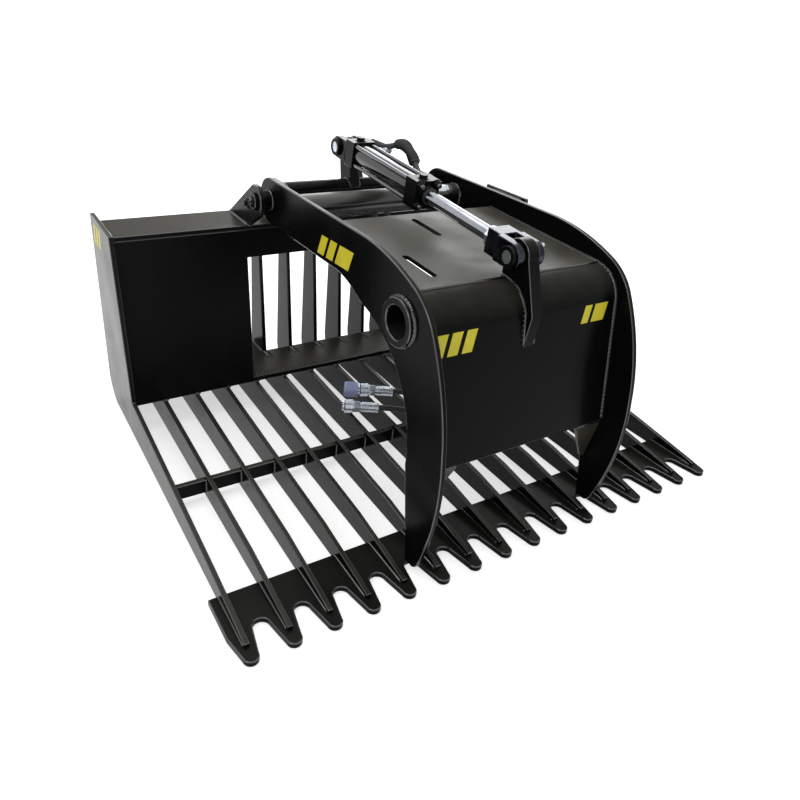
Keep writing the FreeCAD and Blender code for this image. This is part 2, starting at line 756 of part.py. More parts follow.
def fork(label, pin_at, block_from, bore, way):
    """Make a fork's two cheeks. The way is 1 where the block lies ahead of the pin."""
    solids = []
    for side in (-1, 1):
        cheek_low = fork_gap / 2 if side > 0 else -(fork_gap / 2 + fork_cheek)
        reach = block_from - pin_at if way > 0 else pin_at - block_from
        low = -block_from if way > 0 else -pin_at
        solids.append(box(f"{label}_cheek_{side + 1}", (cheek_low, low, -fork_radius),
                          (fork_cheek, reach, fork_radius * 2)))
        solids.append(rod(f"{label}_eye_{side + 1}", (cheek_low, -pin_at, zero),
                          fork_radius, fork_cheek, "x"))
    hole = rod(f"{label}_bore", (fork_width / -2 - 1, -pin_at, zero), bore, fork_width + 2, "x")
    return solids, hole


cap_block = square_block("cap_block", base_cap_start, base_cap_length, block_side)
cheeks, base_bore = fork("base_fork", zero, base_cap_start, pin_radius + running_clearance, 1)
base_cap = cut("base_cap", fuse("base_cap_solid", [cap_block] + cheeks), [base_bore])
on_cylinder("cylinder_base_cap", base_cap)

barrel_start = base_cap_start + base_cap_length
head_start = barrel_start + barrel_length
barrel_outside = rod("barrel_outside", (0, -barrel_start, 0), barrel_radius, barrel_length, "-y")
barrel_inside = rod("barrel_inside", (0, -barrel_start, 0), barrel_bore, barrel_length, "-y")
on_cylinder("cylinder_barrel", cut("barrel", barrel_outside, [barrel_inside]))

head_block = square_block("head_block", head_start, head_length, block_side)
gland_start = head_start + head_length
gland = rod("gland", (0, -gland_start, 0), gland_radius, gland_length, "-y")
rod_hole = rod("rod_hole", (0, -(head_start - 1), 0), rod_radius + running_clearance,
               head_length + gland_length + 2, "-y")
head_tools = [rod_hole]
tie_rods = []
for across in (-1, 1):
    for up in (-1, 1):
        name = f"{across + 1}_{up + 1}"
        spot = (tie_rod_spacing * (across / 2), tie_rod_spacing * (up / 2))
        head_tools.append(rod(f"tie_hole_{name}", (spot[0], -(head_start - 1), spot[1]),
                              tie_rod_radius, head_length + 2, "-y"))
        shank = rod(f"tie_shank_{name}", (spot[0], -barrel_start, spot[1]), tie_rod_radius,
                    barrel_length + head_length + tie_nut_height * 1.5, "-y")
        nut = doc.addObject("Part::Prism", f"tie_nut_{name}")
        nut.Polygon = 6
        nut.setExpression("Circumradius", tie_nut_radius.text)
        nut.setExpression("Height", tie_nut_height.text)
        nut.Placement.Rotation = FreeCAD.Rotation(FreeCAD.Vector(1, 0, 0), 90)
        place(nut, spot[0], -gland_start, spot[1])
        tie_rods.append(fuse(f"tie_rod_{name}", [shank, nut]))
on_cylinder("cylinder_head", cut("head", fuse("head_solid", [head_block, gland]), head_tools))
tie_group = doc.addObject("Part::Compound", "tie_rods")
tie_group.Links = tie_rods
on_cylinder("tie_rods", tie_group)

# Port elbows on the far side of the two blocks, each with a nipple that points back
ports = []
port_reach = size("port_reach", 20)
swing_gap = size("swing_gap", 7)
nipple_length = base_cap_start + base_cap_length / 2 - port_radius - swing_gap
port_stations = (("base", base_cap_start + base_cap_length / 2), ("head", head_start + head_length / 2))
for name, station in port_stations:
    stub = rod(f"port_stub_{name}", (block_side / 2, -station, 0), port_radius,
               port_reach + port_radius, "x")
    nipple = rod(f"port_nipple_{name}", (block_side / 2 + port_reach, -station, 0),
                 ferrule_radius, port_radius + nipple_length, "y")
    ports.append(fuse(f"port_{name}", [stub, nipple]))
port_group = doc.addObject("Part::Compound", "port_elbows")
port_group.Links = ports
on_cylinder("port_elbows", port_group)

# Piston rod, piston and the clevis that straddles the lid's lug
clevis_start = pin_span - clevis_body_start - clevis_body_length
rod_start = piston_start + piston_length
rod_bar = rod("rod_bar", (0, -rod_start, 0), rod_radius, clevis_start - rod_start, "-y")
on_cylinder("piston_rod", single("piston_rod", rod_bar))
piston_disc = rod("piston_disc", (0, -piston_start, 0), barrel_bore - piston_clearance,
                  piston_length, "-y")
on_cylinder("piston", single("piston", piston_disc))
clevis_block = square_block("clevis_block", clevis_start, clevis_body_length, fork_radius * 2)
clevis_cheeks, rod_bore = fork("rod_fork", pin_span, clevis_start + clevis_body_length, pin_radius, -1)
rod_clevis = cut("rod_clevis_cut", fuse("rod_clevis_solid", [clevis_block] + clevis_cheeks), [rod_bore])
on_cylinder("rod_clevis", rod_clevis)


def clevis_pin(label, station):
    """Make a clevis pin with a flat head on the left and a collar on the right."""
    low = fork_width / -2 - side_clearance
    length = fork_width + side_clearance * 2
    bar = rod(f"{label}_bar", (low, -station, 0), pin_radius, length, "x")
    left = rod(f"{label}_head", (low - pin_head_thickness, -station, 0),
               pin_head_radius, pin_head_thickness, "x")
    right = rod(f"{label}_collar", (low + length, -station, 0),
                collar_radius, pin_head_thickness, "x")
    on_cylinder(label, fuse(f"{label}_solid", [bar, left, right]))


clevis_pin("base_pin", zero)
clevis_pin("rod_pin", pin_span)


def hose(label, points, radius):
    """Sweep a round hose along straight runs that are joined by tangent arcs."""
    spots = [FreeCAD.Vector(*point) for point in points]
    edges = []
    start = spots[0]
    length = 0.0
    radii = []
    for before, corner, after in zip(spots, spots[1:], spots[2:]):
        into = (corner - before).normalize()
        away = (after - corner).normalize()
        half_turn = into.getAngle(away) / 2
        bend = 0.45 * min((corner - before).Length, (after - corner).Length) / math.tan(half_turn)
        reach = bend * math.tan(half_turn)
        first = corner - into * reach
        last = corner + away * reach
        bisector = (away - into).normalize()
        centre = corner + bisector * (bend / math.cos(half_turn))
        middle = centre - bisector * bend
        edges.append(Part.LineSegment(start, first).toShape())
        edges.append(Part.Arc(first, middle, last).toShape())
        length += (first - start).Length + bend * half_turn * 2
        radii.append(round(bend))
        start = last
    edges.append(Part.LineSegment(start, spots[-1]).toShape())
    length += (spots[-1] - start).Length
    path = Part.Wire(edges)
    ring = Part.Wire([Part.makeCircle(radius, spots[0], spots[1] - spots[0])])
    solid = path.makePipeShell([ring], True, False)
    item = doc.addObject("Part::Feature", label)
    item.Label = label
    item.Shape = solid
    pieces[label] = item
    share = solid.Volume / (math.pi * radius ** 2 * length)
    print(label, "length", round(length), "radii", radii, "volume share", round(share, 4))
    return item


# Hoses: each is fixed beside the base pin, loops behind the tube and drops to the floor
tilt = math.atan2(cylinder_drop.value, cylinder_run.value)


def beside_cylinder(across, station, up):
    """Give the place on the bucket of a point that is measured beside the cylinder."""
    along = -station * math.cos(tilt) - up * math.sin(tilt)
    rise = up * math.cos(tilt) - station * math.sin(tilt)
    return (across, front.value + base_pin_place.value + along, base_pin_height.value + rise)


nipple_across = (block_side / 2 + port_reach).value
head_exit = (head_start + head_length / 2 - port_radius - nipple_length).value
hose("head_hose", [
    beside_cylinder(nipple_across, head_exit, 0),
    beside_cylinder(nipple_across, head_exit - 34, 0),
    beside_cylinder(nipple_across + 14, head_exit - 92, 32),
    beside_cylinder(nipple_across + 32, head_exit - 160, 38),
    beside_cylinder(nipple_across + 37, head_exit - 222, 8),
    beside_cylinder(nipple_across + hose_spacing.value, swing_gap.value, 0),
], hose_radius.value)


def on_floor(across, along, lift=0.0):
    """Give the place of a hose that lies across the tops of the tines."""
    share = (along - tine_front_length.value) / (face_foot - tine_front_length).value
    top = tine_front_height.value + share * (ledge_height - tine_front_height).value
    return (across, along, top + lift)


def drop_hose(label, across, outward, floor_points):
    """Make a hose that is fixed to the bucket, from beside the base pin down to its coupler."""
    pin_along = base_pin_place.value
    pin_up = base_pin_height.value
    points = [
        (across, pin_along, pin_up),
        (across, pin_along + 50, pin_up + 3),
        (across + 2, pin_along + 93, pin_up - 31),
        (across + 4, pin_along + 94, pin_up - 85),
        (across + 5, pin_along + 57, pin_up - 123),
        (across + 6, pin_along - 2, pin_up - 131),
        (across + 8, pin_along - 55, pin_up - 152),
        (across + 10 + outward * 0.05, pin_along - 83, pin_up - 206),
        (across + 12 + outward * 0.25, pin_along - 99, pin_up - 282),
        (across + 14 + outward * 0.6, pin_along - 103, pin_up - 355),
        (across + 16 + outward, pin_along - 99, pin_up - 427),
    ] + floor_points
    return hose(label, [(x, front.value + y, z) for x, y, z in points], hose_radius.value)


# Quick couplers that lie on the tines at a slant, one of them with its dust cap on
coupler_turn = size("coupler_turn", 29)
slant = math.radians(coupler_turn.value)
coupler_rest = coupler_nose_radius.value + side_clearance.value


def coupler(label, nose_across, nose_along):
    """Make a coupler from the front end of its nose and return the place of its hose end."""
    rest = coupler_nose_length.value / 2
    up = on_floor(0, nose_along - rest * math.sin(slant))[2] + coupler_rest
    sleeve = rod(f"{label}_sleeve", (coupler_nose_length, 0, 0), coupler_radius, coupler_length, "x")
    nose = rod(f"{label}_nose", (0, 0, 0), coupler_nose_radius, coupler_nose_length, "x")
    lay_down(label, fuse(label, [sleeve, nose]), nose_across, nose_along, up)
    reach = (coupler_nose_length + coupler_length).value
    return (nose_across + reach * math.cos(slant), nose_along - reach * math.sin(slant), up)


def lay_down(label, item, across, along, up):
    """Turn a piece that was made along the width to the couplers' slant and put it in place."""
    item.Placement.Rotation = FreeCAD.Rotation(FreeCAD.Vector(0, 0, 1), -coupler_turn.value)
    item.setExpression("Placement.Rotation.Angle", f"{coupler_turn.text} * -1 deg")
    place(item, across, front + along, up)
    pieces[label] = item


def behind(end, run, side=0.0):
    """Give a point on the line of a coupler, some way beyond its hose end."""
    return (end[0] + run * math.cos(slant) + side * math.sin(slant),
            end[1] - run * math.sin(slant) + side * math.cos(slant), end[2])


cap_across = -90.0
cap_along = face_foot.value - 134
coupler_a_across = -131.0
coupler_a_along = face_foot.value - 198
nose_across = cap_across + cap_length.value * math.cos(slant)
nose_along = cap_along - cap_length.value * math.sin(slant)
hose_end_a = coupler("coupler_a", coupler_a_across, coupler_a_along)
hose_end_b = coupler("coupler_b", nose_across, nose_along)
cap_bar = rod("cap_bar", (-cap_length, 0, 0), cap_radius, cap_length, "x")
lay_down("coupler_cap", single("coupler_cap", cap_bar), nose_across, nose_along, hose_end_b[2])

lift = hose_radius.value + side_clearance.value
back = face_foot.value
drop_hose("drop_hose_a", nipple_across + hose_spacing.value, 62, [
    on_floor(190, back - 54, 62),
    on_floor(214, back - 98, 22),
    on_floor(224, back - 156, lift),
    on_floor(212, back - 220, lift),
    on_floor(172, back - 272, lift),
    on_floor(112, back - 298, lift),
    on_floor(46, back - 298, lift + 4),
    behind(hose_end_a, 46),
    hose_end_a,
])
drop_hose("drop_hose_b", nipple_across, 34, [
    on_floor(122, back - 54, 62),
    on_floor(142, back - 96, 22),
    on_floor(150, back - 144, lift),
    on_floor(134, back - 190, lift),
    on_floor(97, back - 218, lift + 2),
    behind(hose_end_b, 40),
    hose_end_b,
])

# Build, check every object and write one file for each sub-part
doc.recompute()
for item in doc.Objects:
    for word in ("Invalid", "Error"):
        if word in item.State:
            raise RuntimeError(f"{item.Label} is {word}: {item.State}")
for label, item in pieces.items():
    if item.Shape.isNull() or not item.Shape.isValid() or item.Shape.Volume <= 0:
        raise RuntimeError(f"{label} has no sound shape")
os.makedirs("parts", exist_ok=True)
for label, item in pieces.items():
    item.Shape.exportStep(f"parts/{label}.step")
print(len(pieces), "sub-parts written")
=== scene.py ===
import bmesh
import bpy
import json
import math
from mathutils import Matrix, Vector


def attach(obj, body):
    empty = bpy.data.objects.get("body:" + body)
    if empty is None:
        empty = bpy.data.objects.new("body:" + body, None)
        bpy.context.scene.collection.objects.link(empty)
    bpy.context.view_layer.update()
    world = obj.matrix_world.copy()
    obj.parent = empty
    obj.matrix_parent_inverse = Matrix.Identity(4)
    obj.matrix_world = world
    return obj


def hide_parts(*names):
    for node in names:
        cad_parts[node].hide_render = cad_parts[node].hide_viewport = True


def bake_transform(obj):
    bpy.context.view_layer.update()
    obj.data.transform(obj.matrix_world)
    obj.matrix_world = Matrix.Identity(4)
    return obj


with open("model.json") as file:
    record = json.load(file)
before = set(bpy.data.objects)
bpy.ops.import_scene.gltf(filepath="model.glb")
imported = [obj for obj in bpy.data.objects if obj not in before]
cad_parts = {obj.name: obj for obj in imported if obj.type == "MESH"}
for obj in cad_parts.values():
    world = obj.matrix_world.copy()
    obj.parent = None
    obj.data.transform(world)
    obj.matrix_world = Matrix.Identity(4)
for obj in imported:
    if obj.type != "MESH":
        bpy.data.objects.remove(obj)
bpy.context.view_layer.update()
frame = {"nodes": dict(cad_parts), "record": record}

home_body = {}
for body_name, members in frame["record"]["behaviour"]["bodies"].items():
    for member in members:
        home_body[member] = body_name

camera = bpy.data.objects.new("camera", bpy.data.cameras.new("camera"))
bpy.context.scene.collection.objects.link(camera)
camera.location = (-0.8452, -1.1285, 0.9446)
camera.rotation_euler = [math.radians(angle) for angle in (60.203, -4.71, -31.165)]
camera.data.lens = 30.69
camera.data.sensor_width = 36
camera.data.shift_x = 0.0335
camera.data.shift_y = -0.0249
bpy.context.scene.camera = camera

# Studio: a seamless white floor under soft boxes
# The floor and the world read as plain white to the camera and in reflections. Two large lamps
# above and behind make the long soft highlights, and a small one fills in from the left.
bpy.context.scene.view_settings.view_transform = "Standard"


def linear(code):
    """Turn an sRGB hex colour into the linear colour that a shader takes."""
    parts = [int(code[place:place + 2], 16) / 255 for place in (1, 3, 5)]
    return tuple([c / 12.92 if c <= 0.04045 else ((c + 0.055) / 1.055) ** 2.4 for c in parts] + [1.0])


def add_node(tree, kind, inputs=None, **settings):
    """Add a node to a tree with its settings, its plain values and its links."""
    node = tree.nodes.new(kind)
    for name, value in settings.items():
        setattr(node, name, value)
    for socket, value in (inputs or {}).items():
        if isinstance(value, bpy.types.NodeSocket):
            tree.links.new(value, node.inputs[socket])
        else:
            node.inputs[socket].default_value = value
    return node


def new_material(name):
    """Start a material and return it with its node tree and its output node."""
    material = bpy.data.materials.new(name)
    material.use_nodes = True
    material.node_tree.nodes.clear()
    output = material.node_tree.nodes.new("ShaderNodeOutputMaterial")
    return material, material.node_tree, output


def new_piece(name, bm, material):
    """Make an object at the origin from a bmesh, with smooth rounds and crisp corners."""
    for face in bm.faces:
        face.smooth = True
    for line in bm.edges:
        line.smooth = len(line.link_faces) == 2 and line.calc_face_angle(0) < math.radians(32)
    mesh = bpy.data.meshes.new(name)
    bm.to_mesh(mesh)
    bm.free()
    mesh.materials.append(material)
    piece = bpy.data.objects.new(name, mesh)
    bpy.context.scene.collection.objects.link(piece)
    return piece


def mount(piece, body, slot, *stand_for):
    """Let a piece move with a body and hide the solids it replaces. The slot is not used."""
    if body:
        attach(piece, body)
    if stand_for:
        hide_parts(*stand_for)


world = bpy.data.worlds.new("studio")
world.use_nodes = True
bpy.context.scene.world = world
tree = world.node_tree
tree.nodes.clear()
path = add_node(tree, "ShaderNodeLightPath")
seen = add_node(tree, "ShaderNodeMath", {0: path.outputs["Is Camera Ray"],
                                         1: path.outputs["Is Transmission Ray"]}, operation="MAXIMUM")
seen = add_node(tree, "ShaderNodeMath", {0: seen.outputs[0], 1: path.outputs["Is Glossy Ray"]},
                operation="MAXIMUM")
dim = add_node(tree, "ShaderNodeBackground", {"Color": linear("#ffffff"), "Strength": 0.5})
bright = add_node(tree, "ShaderNodeBackground", {"Color": linear("#ffffff"), "Strength": 1.0})
choice = add_node(tree, "ShaderNodeMixShader", {0: seen.outputs[0], 1: dim.outputs[0],
                                                2: bright.outputs[0]})
add_node(tree, "ShaderNodeOutputWorld", {"Surface": choice.outputs[0]})

floor_paint, tree, output = new_material("studio_floor_paint")
path = add_node(tree, "ShaderNodeLightPath")
seen = add_node(tree, "ShaderNodeMath", {0: path.outputs["Is Camera Ray"],
                                         1: path.outputs["Is Glossy Ray"]}, operation="MAXIMUM")
matt = add_node(tree, "ShaderNodeBsdfDiffuse", {"Color": linear("#f4f4f3")})
glow = add_node(tree, "ShaderNodeEmission", {"Color": linear("#ffffff"), "Strength": 0.60})
both = add_node(tree, "ShaderNodeAddShader", {0: matt.outputs[0], 1: glow.outputs[0]})
choice = add_node(tree, "ShaderNodeMixShader", {0: seen.outputs[0], 1: matt.outputs[0],
                                                2: both.outputs[0]})
tree.links.new(choice.outputs[0], output.inputs["Surface"])
floor_bm = bmesh.new()
bmesh.ops.create_grid(floor_bm, x_segments=1, y_segments=1, size=30)
bmesh.ops.translate(floor_bm, verts=floor_bm.verts, vec=(0, 0, -0.0004))
studio_floor = new_piece("studio_floor", floor_bm, floor_paint)

for name, place, target, width, height, power in (
        ("overhead", (-0.2, 0.9, 3.2), (0, 0, 0.3), 2.6, 2.2, 34),
        ("behind_right", (2.2, 2.9, 1.9), (0, 0, 0.4), 3.0, 1.8, 66),
        ("left_front", (-2.8, -1.4, 2.2), (0, 0, 0.2), 1.2, 1.2, 12)):
    lamp = bpy.data.lights.new(name, "AREA")
    lamp.shape = "RECTANGLE"
    lamp.size = width
    lamp.size_y = height
    lamp.energy = power
    holder = bpy.data.objects.new(name, lamp)
    bpy.context.scene.collection.objects.link(holder)
    holder.location = place
    holder.rotation_euler = (Vector(target) - Vector(place)).to_track_quat("-Z", "Y").to_euler()

# Hydraulic hoses: two lines from the cylinder's ports to the couplers
# Rubber hose with a wire braid under a smooth cover, 14 mm outside, pushed onto crimped
# ferrules. Both lines loop behind the cross tube and end on the bucket's floor.
hose_radius = 0.007


def clouded_finish(name, tones, cloud_size, grain_size, gloss, relief, depth, more):
    """Rubber, plastic or film: two clouded tones, uneven gloss and a fine grain."""
    material, tree, output = new_material(name)
    spot = add_node(tree, "ShaderNodeTexCoord").outputs["Object"]
    cloud = add_node(tree, "ShaderNodeTexNoise", {"Vector": spot, "Scale": 1 / cloud_size,
                                                  "Detail": 4.0})
    grain = add_node(tree, "ShaderNodeTexNoise", {"Vector": spot, "Scale": 1 / grain_size,
                                                  "Detail": 2.0})
    colour = add_node(tree, "ShaderNodeMix", {0: cloud.outputs[0], 6: linear(tones[0]),
                                              7: linear(tones[1])}, data_type="RGBA")
    rough = add_node(tree, "ShaderNodeMapRange", {0: cloud.outputs[0], 3: gloss[0], 4: gloss[1]})
    bump = add_node(tree, "ShaderNodeBump", {"Height": grain.outputs[0], "Strength": relief,
                                             "Distance": depth})
    surface = add_node(tree, "ShaderNodeBsdfPrincipled", {
        "Base Color": colour.outputs[2], "Roughness": rough.outputs[0],
        "Normal": bump.outputs[0], **more})
    tree.links.new(surface.outputs[0], output.inputs["Surface"])
    return material


hose_rubber = clouded_finish("hose_cover_rubber", ("#0e0f0f", "#222321"), 0.03, 0.0012,
                             (0.40, 0.66), 0.25, 0.0002, {"IOR": 1.5})
head_route = [
    (0.049, 0.0659, 0.5947), (0.049, 0.0998, 0.5976), (0.063, 0.1550, 0.6344),
    (0.081, 0.2222, 0.646), (0.086, 0.2865, 0.6213), (0.085, 0.324, 0.6164),
]
route_a = [
    (0.085, 0.331, 0.617), (0.085, 0.381, 0.62), (0.087, 0.424, 0.586), (0.089, 0.425, 0.532),
    (0.09, 0.388, 0.494), (0.091, 0.329, 0.486), (0.093, 0.276, 0.465), (0.0981, 0.248, 0.411),
    (0.1125, 0.232, 0.335), (0.1362, 0.228, 0.262), (0.163, 0.232, 0.19), (0.19, 0.203, 0.1293),
    (0.214, 0.159, 0.087), (0.224, 0.101, 0.0694), (0.212, 0.037, 0.0661), (0.172, -0.015, 0.0635),
    (0.112, -0.041, 0.0622), (0.046, -0.041, 0.0662), (-0.0138, -0.006, 0.0769),
    (-0.054, 0.0163, 0.0769),
]
route_b = [
    (0.049, 0.331, 0.617), (0.049, 0.381, 0.62), (0.051, 0.424, 0.586), (0.053, 0.425, 0.532),
    (0.054, 0.388, 0.494), (0.055, 0.329, 0.486), (0.057, 0.276, 0.465), (0.0607, 0.248, 0.411),
    (0.0695, 0.232, 0.335), (0.0834, 0.228, 0.262), (0.099, 0.232, 0.19), (0.122, 0.203, 0.1293),
    (0.142, 0.161, 0.0871), (0.15, 0.113, 0.07), (0.134, 0.067, 0.0677), (0.097, 0.039, 0.0683),
    (0.0517, 0.0445, 0.0794), (0.0167, 0.0639, 0.0794),
]
for name, route in (("head_hose", head_route), ("drop_hose_a", route_a), ("drop_hose_b", route_b)):
    line = bpy.data.curves.new(f"{name}_line", "CURVE")
    line.dimensions = "3D"
    line.bevel_depth = hose_radius
    line.bevel_resolution = 4
    line.resolution_u = 10
    spline = line.splines.new("NURBS")
    spline.points.add(len(route) - 1)
    for point, spot in zip(spline.points, route):
        point.co = (*spot, 1)
    spline.order_u = 3
    spline.use_endpoint_u = True
    line.materials.append(hose_rubber)
    hose = bpy.data.objects.new(f"{name}_line", line)
    bpy.context.scene.collection.objects.link(hose)
    mount(hose, home_body[name], "hose_rubber", name)

# Bend sleeves: ribbed rubber sleeves on both lines beside the base pin
# Each sleeve covers the hose where the cylinder swings against the bucket. The real sleeve bends
# with the hose; here it is a fixed piece.
# It is moulded with a rib every 6 mm and grips the hose at both ends.
sleeve_radius = 0.0098
rib_pitch = 0.006
rib_depth = 0.0012
pin_place = 0.331
sleeve_height = 0.6168


def turned(bm, profile, centre, axis, steps=32):
    """Turn a profile of (distance along the axis, radius) into a closed round or many-sided bar."""
    axis = Vector(axis).normalized()
    centre = Vector(centre)
    side = axis.orthogonal().normalized()
    verts = [bm.verts.new(centre + axis * along + side * radius) for along, radius in profile]
    edges = [bm.edges.new(pair) for pair in zip(verts, verts[1:])]
    bmesh.ops.spin(bm, geom=verts + edges, cent=centre, axis=axis, angle=math.tau,
                   steps=steps, use_merge=True)
    bmesh.ops.remove_doubles(bm, verts=bm.verts, dist=0.000002)
    bmesh.ops.recalc_face_normals(bm, faces=bm.faces)


for name, across, first, last in (("sleeve_a", 0.085, -0.034, 0.034), ("sleeve_b", 0.049, -0.012, 0.034)):
    bm = bmesh.new()
    profile = [(first, 0.0), (first, hose_radius)]
    count = round((last - first) / rib_pitch)
    for rib in range(count):
        at = first + (last - first) * rib / count
        wide = (last - first) / count
        profile += [(at + wide * share, sleeve_radius - drop * rib_depth)
                    for share, drop in ((0.02, 1), (0.25, 0.2), (0.45, 0), (0.65, 0.2), (0.88, 1))]
    profile += [(last, hose_radius), (last, 0.0)]
    turned(bm, profile, (across, pin_place, sleeve_height), (0, 1, 0), 24)
    sleeve = new_piece(name, bm, hose_rubber)
    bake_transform(sleeve)
    mount(sleeve, None, "hose_rubber")

# Plate work of the bucket: flame-cut and welded mild steel
# Every plate is sprayed after welding with one thick coat of gloss black enamel. The coat has
# orange peel, soft waves from the rolled plate and dust on what faces up, and its edges take a
# lighter, glossier tone that is a painted highlight.


def black_enamel(name, dust, gloss, base="#070808", shine=0.08):
    """Sprayed enamel: deep black and glossy, with orange peel and a thin dust film."""
    material, tree, output = new_material(name)
    place = add_node(tree, "ShaderNodeTexCoord")
    spot = place.outputs["Object"]
    peel = add_node(tree, "ShaderNodeTexNoise", {"Vector": spot, "Scale": 1 / 0.004, "Detail": 2.0})
    wave = add_node(tree, "ShaderNodeTexNoise", {"Vector": spot, "Scale": 1 / 0.16, "Detail": 2.0})
    patch = add_node(tree, "ShaderNodeTexNoise", {"Vector": spot, "Scale": 1 / 0.11, "Detail": 7.0,
                                                  "Roughness": 0.62})
    speck = add_node(tree, "ShaderNodeTexVoronoi", {"Vector": spot, "Scale": 1 / 0.011})
    speck_mask = add_node(tree, "ShaderNodeMapRange", {0: speck.outputs["Distance"], 1: 0.09,
                                                       2: 0.04, 3: 0.0, 4: 1.0})
    facing = add_node(tree, "ShaderNodeNewGeometry")
    upward = add_node(tree, "ShaderNodeSeparateXYZ", {0: facing.outputs["Normal"]})
    up_mask = add_node(tree, "ShaderNodeMapRange", {0: upward.outputs["Z"], 1: 0.3, 2: 0.97,
                                                    3: 0.06, 4: 1.0})
    thick = add_node(tree, "ShaderNodeMapRange", {0: patch.outputs[0], 1: 0.3, 2: 0.75,
                                                  3: dust * 0.6, 4: dust * 1.5})
    film = add_node(tree, "ShaderNodeMath", {0: thick.outputs[0], 1: up_mask.outputs[0]},
                    operation="MULTIPLY")
    grit = add_node(tree, "ShaderNodeMath", {0: speck_mask.outputs[0], 1: film.outputs[0]},
                    operation="MULTIPLY")
    film = add_node(tree, "ShaderNodeMath", {0: film.outputs[0], 1: grit.outputs[0]}, operation="ADD")
    colour = add_node(tree, "ShaderNodeMix", {0: film.outputs[0], 6: linear(base),
                                              7: linear("#8a877a")}, data_type="RGBA")
    rough = add_node(tree, "ShaderNodeMapRange", {0: patch.outputs[0], 1: 0.3, 2: 0.75,
                                                  3: gloss, 4: gloss + 0.10})
    rough = add_node(tree, "ShaderNodeMath", {0: rough.outputs[0], 1: film.outputs[0]},
                     operation="ADD")
    fine = add_node(tree, "ShaderNodeBump", {"Height": peel.outputs[0], "Strength": 0.16,
                                             "Distance": 0.0005})
    bump = add_node(tree, "ShaderNodeBump", {"Height": wave.outputs[0], "Strength": 0.25,
                                             "Distance": 0.004, "Normal": fine.outputs[0]})
    surface = add_node(tree, "ShaderNodeBsdfPrincipled", {
        "Base Color": colour.outputs[2], "Roughness": rough.outputs[0],
        "Normal": bump.outputs[0], "Specular IOR Level": shine, "IOR": 1.5})
    tree.links.new(surface.outputs[0], output.inputs["Surface"])
    return material


def dress(node, material, slot, edge=0.0012):
    """Stand a finished copy of a solid in its place, with merged corners and broken edges; black enamel edges
    get a painted highlight.
    """
    bm = bmesh.new()
    bm.from_mesh(frame["nodes"][node].data)
    bmesh.ops.remove_doubles(bm, verts=bm.verts, dist=0.00002)
    bmesh.ops.dissolve_limit(bm, verts=bm.verts, edges=bm.edges, angle_limit=math.radians(0.4))
    bmesh.ops.recalc_face_normals(bm, faces=bm.faces)
    piece = new_piece(f"{node}_finished", bm, material)
    if edge:
        rounding = piece.modifiers.new("broken_edges", "BEVEL")
        # Black enamel bevels take the lighter, glossier edge material, a painted highlight along the edges.
        if material.name.startswith("black_enamel"):
            piece.data.materials.append(painted_edge_highlight)
            rounding.material = 1
        rounding.width = edge
        rounding.segments = 2
        rounding.limit_method = "ANGLE"
        rounding.angle_limit = math.radians(34)
    mount(piece, home_body[node], slot, node)
    return piece


# A lighter, glossier black for the bevelled edges: a painted highlight, not a paint the plates have.
painted_edge_highlight = black_enamel("black_enamel_painted_edge_highlight", 0.10, 0.09, "#15171a", 1.0)
# The beads' black is lighter and glossier than the plates': a painted glint on the beads.
painted_glint_bead_enamel = black_enamel("black_enamel_weld_beads_painted_glint", 0.06, 0.08, "#101113", 1.0)
edge_enamel = black_enamel("black_enamel_cutting_edge", 0.04, 0.22, shine=0.05)
tine_enamel = black_enamel("black_enamel_tines", 0.12, 0.18, shine=0.12)
box_enamel = black_enamel("black_enamel_box", 0.18, 0.26, shine=0.06)
dress("cutting_edge", edge_enamel, "black_paint", 0.002)
for number in range(1, 17):
    dress(f"tine_{number:02d}", tine_enamel, "black_paint", 0.0014)
for node in ("cross_bar", "face_plate", "latch_ledge", "top_flange"):
    dress(node, box_enamel, "black_paint")

# Weld beads of the bucket
# Fillet welds laid by hand with a wire gun, 5 to 7 mm wide, with one ripple for each 3 mm of
# travel, painted over with the plates. Each bead is a rod half sunk in the corner it fills.
ripple = 0.003


def lay_bead(bm, path, radius, closed=False, around=8):
    """Lay one rippled bead along a line of points."""
    points = [Vector(point) for point in path]
    if closed:
        points.append(points[0].copy())
    lengths = [(b - a).length for a, b in zip(points, points[1:])]
    total = sum(lengths)
    count = max(4, round(total / 0.0018))
    made = bmesh.ops.create_grid(bm, x_segments=count, y_segments=around, size=0.5)["verts"]
    for vert in made:
        share = vert.co.x + 0.5
        turn = (vert.co.y + 0.5) * math.tau
        travel = share * total
        rest = travel
        leg = 0
        while leg < len(lengths) - 1 and rest > lengths[leg]:
            rest -= lengths[leg]
            leg += 1
        way = (points[leg + 1] - points[leg]).normalized()
        spot = points[leg] + way * min(rest, lengths[leg])
        side = way.orthogonal().normalized()
        up = way.cross(side)
        swell = 1 + 0.12 * math.sin(math.tau * travel / ripple) + 0.08 * math.sin(travel / 0.011)
        if not closed:
            swell *= min(1.0, math.sqrt(max(0.0, min(travel, total - travel) / radius)))
        vert.co = spot + (side * math.cos(turn) + up * math.sin(turn)) * radius * swell
    bmesh.ops.remove_doubles(bm, verts=made, dist=0.000005)


def from_tips(across, along, height):
    """Give a place in metres from millimetres, with the length measured back from the teeth."""
    return (across / 1000, (along - 461) / 1000, height / 1000)


def weld(name, bm, body):
    """Finish a set of beads as one painted piece that moves with a body, in a lighter black that paints
    glints on them.
    """
    bmesh.ops.recalc_face_normals(bm, faces=bm.faces)
    mount(new_piece(name, bm, painted_glint_bead_enamel), body, "black_paint")


